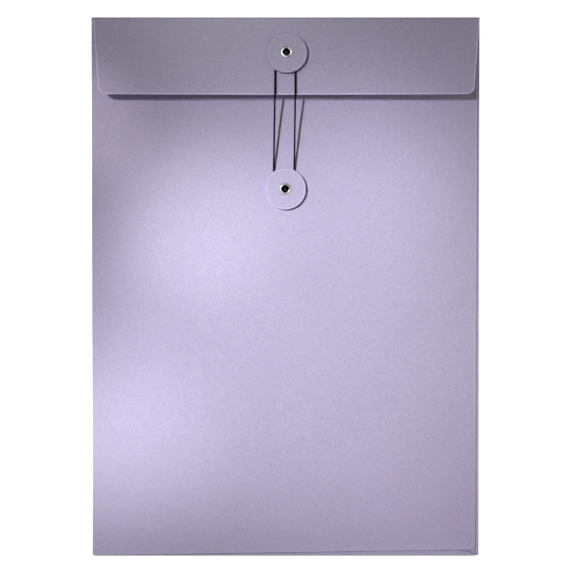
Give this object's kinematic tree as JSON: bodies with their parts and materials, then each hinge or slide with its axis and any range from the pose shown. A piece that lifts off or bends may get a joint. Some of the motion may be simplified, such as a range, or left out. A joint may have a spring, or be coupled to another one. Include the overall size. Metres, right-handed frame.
{
  "type": "string tie envelope",
  "caption": "Portrait card document envelope with a creased top flap, held shut by a string drawn round two riveted card buttons.",
  "frame": {"origin": "middle of the back face that the closed envelope lies on", "axes": "+X across the envelope, +Y up to the flap's crease, +Z out of the front face"},
  "size_m": [0.23, 0.32, 0.0103],
  "materials": {
    "card": "uncoated lilac card with a fine fibre grain",
    "button_card": "uncoated lilac card, die cut",
    "glue": "dried paper adhesive",
    "eyelet_metal": "bright rolled metal",
    "string": "black twisted cotton cord"
  },
  "bodies": {
    "envelope": {"back_panel": "card", "front_panel": "card", "left_fold": "card", "side_tab": "card", "bottom_tab": "card", "side_seam_glue": "glue", "bottom_seam_glue": "glue", "flap_crease": "card", "body_button_spacer": "button_card", "body_button_patch": "button_card", "body_eyelet": "eyelet_metal"},
    "flap": {"closure_flap": "card", "flap_button_spacer": "button_card", "flap_button_patch": "button_card", "flap_eyelet": "eyelet_metal"},
    "flap_disc": {"flap_button": "button_card"},
    "body_disc": {"body_button": "button_card"},
    "string": {"tie_string": "string", "string_knot": "string"}
  },
  "joints": [
    {"name": "flap_hinge", "type": "hinge", "parent": "envelope", "child": "flap", "pos_m": [0, 0.1591, 0.0009], "axis": [-1, 0, 0], "range_deg": [0, 171], "deforming": ["flap_crease", "tie_string"]},
    {"name": "flap_disc_spin", "type": "hinge", "parent": "flap", "child": "flap_disc", "pos_m": [0.0006, 0.1385, 0.00507], "axis": [0, 0.1564, 0.9877], "continuous": true},
    {"name": "body_disc_spin", "type": "hinge", "parent": "envelope", "child": "body_disc", "pos_m": [-0.0002, 0.05825, 0.0026], "axis": [0, 0, 1], "continuous": true},
    {"name": "string_swing", "type": "hinge", "parent": "envelope", "child": "string", "pos_m": [-0.0002, 0.05825, 0.0026], "axis": [0, 0, 1], "range_deg": [-160, 160], "deforming": ["tie_string"]}
  ]
}
